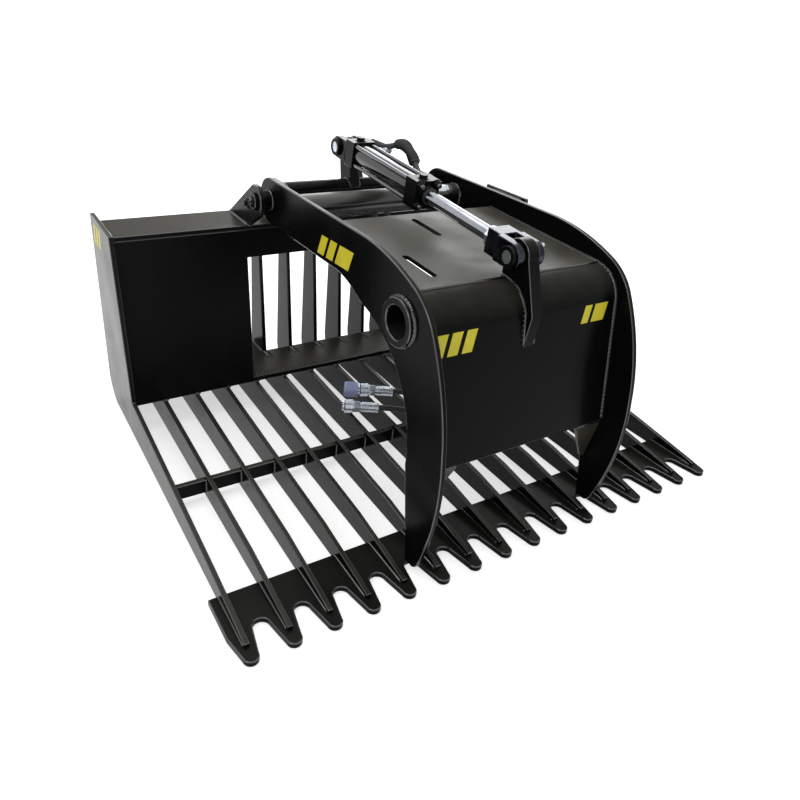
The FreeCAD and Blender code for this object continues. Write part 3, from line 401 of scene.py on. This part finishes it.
tine_pitch = 76.2
half_tine = 5
bm = bmesh.new()
for number in range(1, 17):
    middle = tine_pitch * (number - 8.5)
    for face in (middle - half_tine, middle + half_tine):
        lay_bead(bm, [from_tips(face, 34, 12.3), from_tips(face, 151, 12.3)], 0.0026)
        if abs(face) < 566:
            lay_bead(bm, [from_tips(face, 424, 15), from_tips(face, 424, 45.5)], 0.0024)
    if 1 < number < 16:
        lay_bead(bm, [from_tips(middle - 9, 717.6, 70.3), from_tips(middle + 9, 717.6, 70.3)],
                 0.0026)
weld("floor_welds", bm, "bucket")
bm = bmesh.new()
for side in (-1, 1):
    inner = 566.3 * side
    lay_bead(bm, [from_tips(inner, 718, 73), from_tips(inner, 762, 445)], 0.0032)
    lay_bead(bm, [from_tips(inner, 764, 457), from_tips(inner, 884, 457)], 0.0030)
    lay_bead(bm, [from_tips(inner, 733, 82), from_tips(inner, 920, 82)], 0.0030)
    lay_bead(bm, [from_tips(inner, 774, 447), from_tips(inner, 884, 447)], 0.0030)
lay_bead(bm, [from_tips(-566, 772.4, 446.4), from_tips(566, 772.4, 446.4)], 0.0030)
for low, high in ((-566, -212), (212, 566)):
    lay_bead(bm, [from_tips(low, 731, 82), from_tips(high, 731, 82)], 0.0030)
for number in range(6, 12):
    middle = tine_pitch * (number - 8.5)
    for face in (middle - half_tine, middle + half_tine):
        lay_bead(bm, [from_tips(face, 800, 82), from_tips(face, 840, 82)], 0.0024)
        lay_bead(bm, [from_tips(face, 886, 446.8), from_tips(face, 920, 446.8)], 0.0024)
weld("box_welds", bm, "bucket")

# Hinge ears and hinge pins
# Four 12 mm ears stand on the flange in pairs. Each 25 mm pin is pushed in from outside, is
# painted with the ears and is held by a screw through a keeper tab beside its head.
ear_enamel = black_enamel("black_enamel_ears", 0.10, 0.20, "#090a0c")
for node in ("outer_ear_left", "outer_ear_right", "inner_ear_left", "inner_ear_right"):
    dress(node, ear_enamel, "black_paint", 0.0015)
hinge_spot = (724, 522)
head_face = 273.6
keeper_size = (0.005, 0.030, 0.016)
keeper_spot = (757, 508)
screw_spot = (763, 508)
for name, side in (("left", -1), ("right", 1)):
    dress(f"hinge_pin_{name}", ear_enamel, "black_paint", 0.001)
    bm = bmesh.new()
    turned(bm, [(0, 0), (0, 0.0115), (0.0006, 0.0125), (0.0014, 0.0125), (0.002, 0.0115), (0.002, 0)],
           from_tips(side * (head_face - 0.4), *hinge_spot), (side, 0, 0))
    turned(bm, [(0, 0), (0, 0.0033), (0.0022, 0.0033), (0.0022, 0.0021), (0.0034, 0.0018),
                (0.0046, 0.0026), (0.0056, 0.0018), (0.0058, 0)],
           from_tips(side * (head_face + 1.2), *hinge_spot), (side, 0, 0), 16)
    mount(new_piece(f"hinge_pin_{name}_nipple", bm, ear_enamel), "bucket", "black_paint")
    bm = bmesh.new()
    keeper = bmesh.ops.create_cube(bm, size=1)["verts"]
    bmesh.ops.scale(bm, vec=keeper_size, verts=keeper)
    bmesh.ops.translate(bm, vec=from_tips(side * 270.1, *keeper_spot), verts=keeper)
    bmesh.ops.bevel(bm, geom=bm.edges[:], offset=0.0015, offset_type="OFFSET", segments=2,
                    profile=0.5, affect="EDGES", material=-1)
    turned(bm, [(0, 0), (0, 0.0062), (0.0046, 0.0062), (0.0052, 0.0054), (0.0052, 0)],
           from_tips(side * 272.4, *screw_spot), (side, 0, 0), 6)
    turned(bm, [(0, 0), (0, 0.0078), (0.0012, 0.0078), (0.0012, 0)],
           from_tips(side * 272.2, *screw_spot), (side, 0, 0), 24)
    mount(new_piece(f"hinge_pin_{name}_keeper", bm, ear_enamel), "bucket", "black_paint")
bm = bmesh.new()
for side in (-1, 1):
    for face, rear in ((267.6, 881), (255.6, 881), (205.6, 853), (193.6, 853)):
        lay_bead(bm, [from_tips(side * face, 764, 457.2), from_tips(side * face, rear, 457.2)], 0.0034)
    for low, high in ((255.6, 267.6), (193.6, 205.6)):
        lay_bead(bm, [from_tips(side * (low - 2), 762.4, 457.2), from_tips(side * (high + 2), 762.4, 457.2)],
                 0.0032)
weld("ear_welds", bm, "bucket")

# Cross tube with the cylinder's lug and base pin
# A 34 mm tube is welded between the inner ears, with a 25 mm thick lug saddled over it. The
# base pin is zinc plated, with black paint round its left end and a split pin in its right end.
tube_spot = (768, 531)
tube_bead_radius = 17.3
lug_face = 12.7
for node in ("mount_tube", "cylinder_lug"):
    dress(node, ear_enamel, "black_paint", 0.0015)


def circle_path(across, along, height, radius, steps=48):
    """Give the points of a ring that stands across the width, in metres."""
    return [from_tips(across, along + radius * math.cos(math.tau * step / steps),
                      height + radius * math.sin(math.tau * step / steps)) for step in range(steps)]


bm = bmesh.new()
for side in (-1, 1):
    lay_bead(bm, circle_path(side * 193, *tube_spot, tube_bead_radius), 0.003, True)
    saddle = [from_tips(side * lug_face, tube_spot[0] + tube_bead_radius * math.cos(angle),
                        tube_spot[1] + tube_bead_radius * math.sin(angle))
              for angle in [math.pi * step / 20 for step in range(21)]]
    lay_bead(bm, saddle, 0.0032)
weld("cross_tube_welds", bm, "bucket")


def bright_metal(name, colour, low, high, grain_size=0.0008):
    """Plated or machined steel with fine grain, uneven gloss and a little staining."""
    material, tree, output = new_material(name)
    place = add_node(tree, "ShaderNodeTexCoord")
    spot = place.outputs["Object"]
    patch = add_node(tree, "ShaderNodeTexNoise", {"Vector": spot, "Scale": 1 / 0.02, "Detail": 5.0})
    grain = add_node(tree, "ShaderNodeTexNoise", {"Vector": spot, "Scale": 1 / grain_size,
                                                  "Detail": 2.0})
    tint = add_node(tree, "ShaderNodeMapRange", {0: patch.outputs[0], 1: 0.35, 2: 0.7,
                                                 3: 0.0, 4: 0.35})
    shade = add_node(tree, "ShaderNodeMix", {0: tint.outputs[0], 6: linear(colour),
                                             7: linear("#6d7078")}, data_type="RGBA")
    rough = add_node(tree, "ShaderNodeMapRange", {0: patch.outputs[0], 1: 0.3, 2: 0.7,
                                                  3: low, 4: high})
    bump = add_node(tree, "ShaderNodeBump", {"Height": grain.outputs[0], "Strength": 0.12,
                                             "Distance": 0.0002})
    surface = add_node(tree, "ShaderNodeBsdfPrincipled", {
        "Base Color": shade.outputs[2], "Metallic": 1.0, "Roughness": rough.outputs[0],
        "Normal": bump.outputs[0]})
    tree.links.new(surface.outputs[0], output.inputs["Surface"])
    return material


zinc = bright_metal("bright_zinc_plate", "#d3dae2", 0.24, 0.42)
dress("base_pin", zinc, "bright_steel", 0.001)


def ring_and_split_pin(bm, spot, along_axis):
    """Add a spring ring behind the pin's head and a split pin through its collar."""
    turned(bm, [(0, 0.0125), (0, 0.0152), (0.0012, 0.0158), (0.0024, 0.0152), (0.0024, 0.0125)],
           spot(-0.0306), (-1, 0, 0))
    low = Vector(spot(0.0335)) - Vector(along_axis) * 0.021
    turned(bm, [(0, 0), (0, 0.0013), (0.001, 0.0016), (0.041, 0.0016), (0.042, 0.001), (0.042, 0)],
           low, along_axis, 12)
    turned(bm, [(0, 0), (0.0004, 0.0026), (0.002, 0.0038), (0.0040, 0.0026), (0.0044, 0)],
           Vector(spot(0.0335)) + Vector(along_axis) * 0.0195, along_axis, 12)


def painted_collar(name, spot, body):
    """Leave the black paint round the rubbed bright end of a pin's head."""
    rim = [(0, 0.0122), (0, 0.0186), (0.0008, 0.0194), (0.0080, 0.0194), (0.0080, 0.0122), (0, 0.0122)]
    collar = bmesh.new()
    turned(collar, rim, spot(-0.0380), (1, 0, 0), 40)
    mount(new_piece(name, collar, ear_enamel), body, "black_paint")


def base_pin_at(across):
    """Give a place on the base pin's axis."""
    return (across, 0.331, 0.617)


bm = bmesh.new()
ring_and_split_pin(bm, base_pin_at, (0, 0.5, 0.866))
mount(new_piece("base_pin_fittings", bm, zinc), "barrel", "bright_steel")
painted_collar("base_pin_collar", base_pin_at, "bucket")

# Lid side plates with their hinge bushes
# Two 10 mm plates run from the hinge over the bend to the claw's tip. A steel bush is welded
# into each plate's rear end and turns on the hinge pin.
lid_enamel = black_enamel("black_enamel_lid_plates", 0.08, 0.20, shine=0.06)
for node in ("lid_side_left", "lid_side_right", "hinge_bush_left", "hinge_bush_right"):
    dress(node, lid_enamel, "black_paint", 0.0018)
bm = bmesh.new()
for side in (-1, 1):
    for face in (223.6, 233.6):
        lay_bead(bm, circle_path(side * face, *hinge_spot, 21.3), 0.0028, True)
weld("bush_welds", bm, "lid")

# Lid skin: flat deck, rolled front panel, claw gussets, rear tube and cross pipe
# An 8 mm deck with two slots meets the rolled front panel in a welded seam and ends short of
# the rear tube. The cross pipe stiffens the bend and opens at both side plates.
deck_enamel = black_enamel("black_enamel_deck", 0.22, 0.22, shine=0.16)
panel_enamel = black_enamel("black_enamel_front_panel", 0.12, 0.20, shine=0.05)
tube_enamel = black_enamel("black_enamel_tubes", 0.20, 0.14, shine=0.75)
dress("lid_deck", deck_enamel, "black_paint", 0.001)
gusset_enamel = black_enamel("black_enamel_gussets", 0.30, 0.30, "#34322a", 0.20)
dress("lid_front_panel", panel_enamel, "black_paint")
for node in ("claw_gusset_left", "claw_gusset_right"):
    dress(node, gusset_enamel, "black_paint")
dress("lid_rear_tube", tube_enamel, "black_paint")
dress("lid_cross_pipe", ear_enamel, "black_paint", 0.002)
bend_line = [(113, 460), (115, 471), (120, 483), (127, 494), (137, 504), (150, 512), (163, 517),
             (178, 519.3)]
bm = bmesh.new()
for side in (-1, 1):
    corner = side * 223.4
    lay_bead(bm, [from_tips(corner, 71, 216)] + [from_tips(corner, d, z) for d, z in bend_line]
             + [from_tips(corner, 516, 533)], 0.0034)
    lay_bead(bm, [from_tips(corner, 86, 216), from_tips(corner, 124, 440)], 0.0028)
    lay_bead(bm, circle_path(side * 233.9, 180, 466, 44.2), 0.0036, True)
    lay_bead(bm, circle_path(side * 223.2, 652, 523, 28.2), 0.0030, True)
    lay_bead(bm, [from_tips(side * 222, 176, 519.2), from_tips(side * 15, 176, 519.2)], 0.0024)
    lay_bead(bm, [from_tips(side * 222, 70.4, 213.4), from_tips(side * 153, 70.4, 213.4)], 0.0024)
weld("lid_welds", bm, "lid")

# Rod lug and rod pin
# A 25 mm lug stands on the deck and follows the bend. Its bore is wider than the pin, which
# takes up the play of the cylinder. The pin is zinc plated like the base pin.
dress("rod_lug", lid_enamel, "black_paint", 0.0018)
dress("rod_pin", zinc, "bright_steel", 0.001)
bm = bmesh.new()
for side in (-1, 1):
    lay_bead(bm, [from_tips(side * lug_face, 104.6, 412)]
             + [from_tips(side * lug_face, d - 0.6, z + 0.3) for d, z in bend_line]
             + [from_tips(side * lug_face, 191, 519.8)], 0.0034)
weld("rod_lug_welds", bm, "lid")


def rod_pin_at(across):
    """Give a place on the rod pin's axis."""
    return (across, -0.299, 0.564)


bm = bmesh.new()
ring_and_split_pin(bm, rod_pin_at, (0, -0.5, 0.866))
mount(new_piece("rod_pin_fittings", bm, zinc), "rod", "bright_steel")
painted_collar("rod_pin_collar", rod_pin_at, "rod")

# Hydraulic cylinder: square black end blocks, bright tie rods and a chromed piston rod
# The blocks and the barrel are painted, four bare cold-drawn tie rods clamp the barrel between
# the blocks, the 28 mm rod is ground and hard chromed, and the clevis is blackened.
block_enamel = black_enamel("black_enamel_end_blocks", 0.06, 0.18, "#0a0b0c", 0.12)
barrel_enamel = black_enamel("black_enamel_barrel", 0.04, 0.08, "#0b0c0d", 1.0)
chrome = bright_metal("hard_chrome", "#a3a7ad", 0.08, 0.15, 0.0005)
oxide = bright_metal("black_oxide_steel", "#1f222c", 0.18, 0.30)
tilt = math.radians(4.81)
axis_way = (0, -math.cos(tilt), -math.sin(tilt))
rise_way = (0, -math.sin(tilt), math.cos(tilt))


def on_cylinder(across, along, rise):
    """Give a place in metres from its distances across, ahead of and above the base pin."""
    spot = Vector(base_pin_at(0)) + Vector(axis_way) * along + Vector(rise_way) * rise
    return (across, spot.y, spot.z)


for node in ("cylinder_base_cap", "cylinder_head"):
    dress(node, block_enamel, "cylinder_paint", 0.0015)
dress("cylinder_barrel", barrel_enamel, "cylinder_paint", 0.0015)
dress("rod_clevis", oxide, "cylinder_paint", 0.0015)
tie_steel = bright_metal("cold_drawn_tie_rod_steel", "#74777b", 0.13, 0.22)
dress("tie_rods", tie_steel, "bright_steel", 0.0006)
dress("port_elbows", zinc, "bright_steel", 0.0006)
rod_start = 0.2400
rod_radius = 0.014
rod_length = 0.3182
rod_chamfer = 0.0002
bm = bmesh.new()
turned(bm, [(0, 0), (0, rod_radius - rod_chamfer), (rod_chamfer, rod_radius),
            (rod_length - rod_chamfer, rod_radius), (rod_length, rod_radius - rod_chamfer),
            (rod_length, 0)], on_cylinder(0, rod_start, 0), axis_way, 72)
mount(new_piece("piston_rod_finished", bm, chrome), "rod", "chrome", "piston_rod")
dress("piston", zinc, "bright_steel", 0)
tie_corners = [(across, rise) for across in (-0.021, 0.021) for rise in (-0.021, 0.021)]
thread_pitch = 0.0012
thread = [(0, 0)]
for turn in range(5):
    thread += [(turn * thread_pitch, 0.0043), (turn * thread_pitch + 0.0006, 0.0048)]
thread += [(0.0064, 0.0038), (0.0064, 0)]
bm = bmesh.new()
for across, rise in tie_corners:
    turned(bm, thread, on_cylinder(across, 0.3395, rise), axis_way, 20)
mount(new_piece("tie_rod_threads", bm, tie_steel), "barrel", "bright_steel")
bm = bmesh.new()
for across, rise in tie_corners:
    turned(bm, [(0, 0), (0, 0.0104), (0.0014, 0.0104), (0.0014, 0)],
           on_cylinder(across, 0.3316, rise), axis_way, 28)
    turned(bm, [(0, 0), (0, 0.0093), (0.0062, 0.0093), (0.0074, 0.0082), (0.0074, 0)],
           on_cylinder(across, 0.3330, rise), axis_way, 6)
mount(new_piece("tie_rod_nuts", bm, block_enamel), "barrel", "cylinder_paint")
bm = bmesh.new()
turned(bm, [(0, 0), (0, 0.0215), (0.0100, 0.0215), (0.0112, 0.0200), (0.0112, 0)],
       on_cylinder(0, 0.5468, 0), axis_way, 6)
mount(new_piece("rod_lock_nut", bm, zinc), "rod", "bright_steel")
bm = bmesh.new()
turned(bm, [(0, 0.0130), (0, 0.0172), (0.0018, 0.0178), (0.0034, 0.0166), (0.0046, 0.0146), (0.0046, 0.0130)],
       on_cylinder(0, 0.3422, 0), axis_way)
mount(new_piece("rod_wiper", bm, hose_rubber), "barrel", "hose_rubber")

# Port fittings: hexagon adapters, crimped ferrules and the plugs in the unused ports
# Each elbow carries a hexagon against the block and a crimped shell over the hose's end. Black
# hexagon plugs close the unused top ports, and a clamp grips the head hose near the base pin.
port_stations = (0.053, 0.312)
groove_pitch = 0.0056
back = tuple(-part for part in axis_way)
bm = bmesh.new()
for station in port_stations:
    turned(bm, [(0, 0), (0, 0.0125), (0.0008, 0.0135), (0.0080, 0.0135), (0.0088, 0.0125), (0.0088, 0)],
           on_cylinder(0.0293, station, 0), (1, 0, 0), 6)
    turned(bm, [(0, 0), (0, 0.0108), (0.0072, 0.0108), (0.0072, 0.0098), (0.0094, 0)],
           on_cylinder(0.0578, station, 0), (1, 0, 0), 6)
    turned(bm, [(0, 0), (0, 0.0118), (0.0066, 0.0118), (0.0066, 0)],
           on_cylinder(0.049, station - 0.0106, 0), back, 6)
    crimp = [(0, 0), (0, 0.0098)]
    for groove in range(4):
        crimp += [(at + groove * groove_pitch, radius) for at, radius in (
            (0.0020, 0.0098), (0.0028, 0.0091), (0.0052, 0.0091), (0.0060, 0.0098))]
    crimp += [(0.0262, 0.0098), (0.0268, 0.0090), (0.0268, 0)]
    turned(bm, crimp, on_cylinder(0.049, station - 0.0182, 0), back)
mount(new_piece("port_fittings", bm, zinc), "barrel", "bright_steel")
bm = bmesh.new()
for station in port_stations:
    turned(bm, [(0, 0), (0, 0.0125), (0.0014, 0.0132), (0.0014, 0)],
           on_cylinder(0, station, 0.0288), rise_way)
    turned(bm, [(0, 0), (0, 0.0098), (0.0052, 0.0098), (0.0062, 0.0088), (0.0062, 0)],
           on_cylinder(0, station, 0.0300), rise_way, 6)
mount(new_piece("port_plugs", bm, block_enamel), "barrel", "cylinder_paint")
bm = bmesh.new()
turned(bm, [(0, 0), (0, 0.0086), (0.0012, 0.0092), (0.0100, 0.0092), (0.0112, 0.0086), (0.0112, 0)],
       on_cylinder(0.085, 0.036, 0), axis_way, 24)
mount(new_piece("hose_clamp", bm, zinc), "barrel", "bright_steel")

# Spiral guard on the head hose
# A wound rubber guard keeps the hump of the hose off the barrel and the lid's far plate. It is
# pushed over the hose and held by its own spring.
guard_radius = 0.0112
legs = [Vector(spot) for spot in head_route[1:5]]
joints = [(legs[0] + legs[1]) / 2, (legs[1] + legs[2]) / 2, (legs[2] + legs[3]) / 2]
guard_path = []
for start, corner, end in ((joints[0], legs[1], joints[1]), (joints[1], legs[2], joints[2])):
    for step in range(12):
        share = step / 12
        guard_path.append(start * (1 - share) ** 2 + corner * 2 * share * (1 - share)
                          + end * share ** 2)
guard_path.append(joints[2])
bm = bmesh.new()
lay_bead(bm, guard_path, guard_radius, around=20)
bmesh.ops.recalc_face_normals(bm, faces=bm.faces)
guard = new_piece("hose_guard", bm, hose_rubber)
mount(guard, "barrel", "hose_rubber")

# Quick couplers on the floor, one of them with its dust cap on
# Zinc-plated couplers with a knurled locking sleeve, a hexagon body and a crimped ferrule.
# The cap is lavender blue plastic with grip ribs.
slant = math.radians(29)
coupler_way = (math.cos(slant), -math.sin(slant), 0)
crimp_pitch = 0.0066
nose_a = (-0.131, 0.059, 0.0769)
nose_b = (-0.0603, 0.1065, 0.0794)
for name, nose in (("coupler_a", nose_a), ("coupler_b", nose_b)):
    bm = bmesh.new()
    turned(bm, [(0, 0), (0, 0.0100), (0.0010, 0.0112), (0.0044, 0.0112), (0.0050, 0.0128), (0.0062, 0.0150),
                (0.0080, 0.0168), (0.0100, 0.0168), (0.0108, 0.0160), (0.0122, 0.0160), (0.0130, 0.0168),
                (0.0148, 0.0168), (0.0156, 0.0160), (0.0170, 0.0160), (0.0178, 0.0168), (0.0250, 0.0168),
                (0.0260, 0.0158), (0.0262, 0.0138), (0.0290, 0.0138), (0.0290, 0)], nose, coupler_way, 40)
    start = Vector(nose) + Vector(coupler_way) * 0.0285
    turned(bm, [(0, 0), (0, 0.0128), (0.0010, 0.0138), (0.0150, 0.0138), (0.0160, 0.0128), (0.0160, 0)],
           start, coupler_way, 6)
    start = Vector(nose) + Vector(coupler_way) * 0.0440
    shell = [(0, 0), (0, 0.0104), (0.0040, 0.0104), (0.0044, 0.0125)]
    for groove in range(5):
        shell += [(at + groove * crimp_pitch, radius) for at, radius in (
            (0.0060, 0.0125), (0.0068, 0.0112), (0.0102, 0.0112), (0.0110, 0.0125))]
    shell += [(0.0430, 0.0125), (0.0438, 0.0108), (0.0440, 0)]
    turned(bm, shell, start, coupler_way)
    mount(new_piece(f"{name}_finished", bm, zinc), "bucket", "bright_steel", name)

cap_plastic = clouded_finish("lavender_cap_plastic", ("#979fd0", "#b9c0e2"), 0.012, 0.0015,
                             (0.34, 0.52), 0.15, 0.0002, {"IOR": 1.5, "Subsurface Weight": 0.05})
cap_reach = 0.034
grip_ribs = 24
bm = bmesh.new()
cap_end = Vector(nose_b) - Vector(coupler_way) * cap_reach
turned(bm, [(0, 0), (0, 0.0150), (0.0016, 0.0178), (0.0040, 0.0184), (0.0290, 0.0184), (0.0296, 0.0190),
            (0.0336, 0.0190), (0.0342, 0.0182), (0.0342, 0)], cap_end, coupler_way, 48)
for rib in range(grip_ribs):
    angle = math.tau * rib / grip_ribs
    made = bmesh.ops.create_cube(bm, size=1)["verts"]
    bmesh.ops.scale(bm, vec=(0.022, 0.0016, 0.0016), verts=made)
    bmesh.ops.translate(bm, vec=(0.0165, 0, 0.0183), verts=made)
    bmesh.ops.rotate(bm, cent=(0, 0, 0), matrix=Matrix.Rotation(angle, 3, "X"), verts=made)
    bmesh.ops.rotate(bm, cent=(0, 0, 0), matrix=Matrix.Rotation(-slant, 3, "Z"), verts=made)
    bmesh.ops.translate(bm, vec=cap_end, verts=made)
mount(new_piece("coupler_cap_finished", bm, cap_plastic), "bucket", "cap_plastic", "coupler_cap")

# Plain yellow stripes
# Cut vinyl film 0.15 mm thick, in slanted bars on the left lid plate, the front panel and the
# left end plate. The film is pressed onto the dry paint.
vinyl = clouded_finish("yellow_vinyl_film", ("#d8c81a", "#efe23c"), 0.03, 0.001,
                       (0.34, 0.5), 0.08, 0.0001, {"IOR": 1.46})
film_thickness = 0.00015


def stick_bars(bm, corner, right, up, widths, height, lean):
    """Stick a row of slanted bars on a flat face, from the row's lower left corner."""
    corner, right, up = Vector(corner), Vector(right).normalized(), Vector(up).normalized()
    off = right.cross(up) * film_thickness
    start = 0.0
    for width, gap in widths:
        low = [corner + right * start, corner + right * (start + width)]
        high = [point + up * height + right * lean for point in low]
        ring = [bm.verts.new(point + off) for point in (low[0], low[1], high[1], high[0])]
        made = bmesh.ops.extrude_face_region(bm, geom=[bm.faces.new(ring)])["geom"]
        bmesh.ops.translate(bm, vec=-off * 1.3, verts=[v for v in made if isinstance(v, bmesh.types.BMVert)])
        start += width + gap
    bmesh.ops.recalc_face_normals(bm, faces=bm.faces)


bm = bmesh.new()
stick_bars(bm, from_tips(-233.6, 486, 484), (0, -1, 0.04), (0, -0.06, 1),
           ((0.026, 0.010), (0.026, 0.010), (0.052, 0.010)), 0.040, 0.014)
panel_up = (0, 43, 247)
stick_bars(bm, from_tips(-214, 106.8, 424.4), (1, 0, 0), panel_up,
           ((0.022, 0.009), (0.022, 0.009), (0.022, 0)), 0.040, 0.012)
stick_bars(bm, from_tips(132, 107.9, 430.7), (1, 0, 0), panel_up,
           ((0.018, 0.008), (0.034, 0)), 0.034, 0.010)
mount(new_piece("lid_stripes", bm, vinyl), "lid", "black_paint")
bm = bmesh.new()
stick_bars(bm, from_tips(-576.5, 903, 404), (0, -1, 0), (0, 0, 1),
           ((0.016, 0.008), (0.016, 0.008), (0.016, 0)), 0.046, 0.010)
mount(new_piece("end_plate_stripes", bm, vinyl), "bucket", "black_paint")
